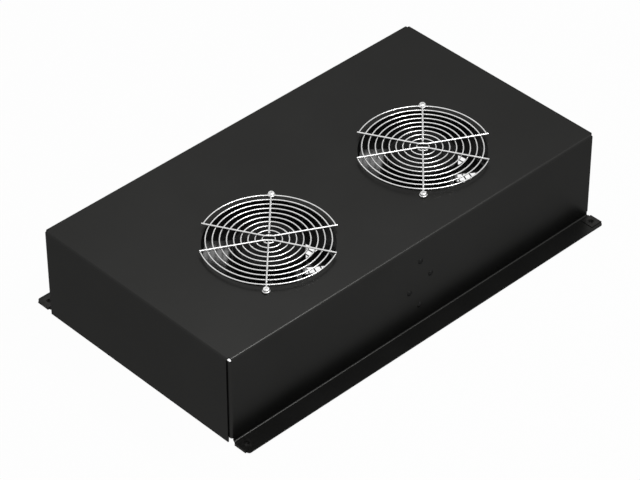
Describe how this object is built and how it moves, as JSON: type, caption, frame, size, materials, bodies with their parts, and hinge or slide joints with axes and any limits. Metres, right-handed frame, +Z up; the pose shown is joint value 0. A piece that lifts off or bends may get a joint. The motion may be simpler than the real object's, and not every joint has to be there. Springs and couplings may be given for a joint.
{
  "type": "rack fan tray",
  "caption": "Folded steel roof tray for a server cabinet, open below, with wire-guarded axial fans under its panel and clip nuts on outward flanges.",
  "frame": {"origin": "middle of the mounting screw pattern, in the plane of the flanges' upper faces", "axes": "+X along the housing, +Y across it towards the wider margin beside the fans, +Z up through the panel"},
  "size_m": [0.554, 0.343, 0.1265],
  "materials": {
    "housing_powder_coat": "satin black powder coat",
    "zinc_spring_steel": "phosphated spring steel",
    "galvanised_sheet": "galvanised",
    "block_plastic": "satin",
    "zinc_steel": "zinc plated",
    "black_screws": "blackened",
    "grommet_rubber": "matte",
    "gland_plastic": "satin",
    "clip_plastic": "satin",
    "stud_copper": "copper plated",
    "earth_brass": "plain",
    "fan_frame_coat": "black paint on cast aluminium",
    "lamination_steel": "varnished",
    "winding_enamel": "enamelled copper",
    "bearing_steel": "ground",
    "cap_plastic": "satin",
    "tab_brass": "tinned",
    "plug_plastic": "satin",
    "rotor_coat": "black paint",
    "shaft_steel": "ground",
    "ring_steel": "phosphated",
    "blade_coat": "black paint",
    "guard_wire": "bright nickel plated",
    "bright_screws": "bright zinc plated",
    "lead_jacket": "satin PVC jacket"
  },
  "bodies": {
    "chassis": {"block_nuts": "zinc_steel", "block_screws": "black_screws", "clamp_screws": "zinc_steel", "clip_nuts": "zinc_spring_steel", "cover_nuts": "zinc_steel", "cover_screws": "black_screws", "earth_nut": "earth_brass", "earth_stud": "stud_copper", "enclosure": "housing_powder_coat", "fan_1_bearings": "bearing_steel", "fan_1_frame": "fan_frame_coat", "fan_1_lead": "lead_jacket", "fan_1_lower_guard": "guard_wire", "fan_1_lower_nuts": "zinc_steel", "fan_1_lower_screws": "bright_screws", "fan_1_motor_cap": "cap_plastic", "fan_1_plug": "plug_plastic", "fan_1_stator_core": "lamination_steel", "fan_1_terminal_block": "block_plastic", "fan_1_terminal_tabs": "tab_brass", "fan_1_top_guard": "guard_wire", "fan_1_top_nuts": "zinc_steel", "fan_1_top_screws": "bright_screws", "fan_1_windings": "winding_enamel", "fan_2_bearings": "bearing_steel", "fan_2_frame": "fan_frame_coat", "fan_2_lead": "lead_jacket", "fan_2_lower_guard": "guard_wire", "fan_2_lower_nuts": "zinc_steel", "fan_2_lower_screws": "bright_screws", "fan_2_motor_cap": "cap_plastic", "fan_2_plug": "plug_plastic", "fan_2_stator_core": "lamination_steel", "fan_2_terminal_block": "block_plastic", "fan_2_terminal_tabs": "tab_brass", "fan_2_top_guard": "guard_wire", "fan_2_top_nuts": "zinc_steel", "fan_2_top_screws": "bright_screws", "fan_2_windings": "winding_enamel", "gland_dome_nut": "gland_plastic", "gland_locknut": "gland_plastic", "junction_cover": "galvanised_sheet", "lead_clip": "clip_plastic", "lead_grommets": "grommet_rubber", "supply_gland": "gland_plastic", "terminal_block": "block_plastic"},
    "impeller_1": {"fan_1_impeller": "blade_coat", "fan_1_rotor_can": "rotor_coat", "fan_1_rotor_core": "lamination_steel", "fan_1_shaft": "shaft_steel", "fan_1_shaft_ring": "ring_steel"},
    "impeller_2": {"fan_2_impeller": "blade_coat", "fan_2_rotor_can": "rotor_coat", "fan_2_rotor_core": "lamination_steel", "fan_2_shaft": "shaft_steel", "fan_2_shaft_ring": "ring_steel"}
  },
  "joints": [
    {"name": "fan_1_spin", "type": "hinge", "parent": "chassis", "child": "impeller_1", "pos_m": [-0.1168, -0.036, 0.061], "axis": [0, 0, 1], "continuous": true},
    {"name": "fan_2_spin", "type": "hinge", "parent": "chassis", "child": "impeller_2", "pos_m": [0.1168, -0.036, 0.061], "axis": [0, 0, 1], "continuous": true}
  ]
}
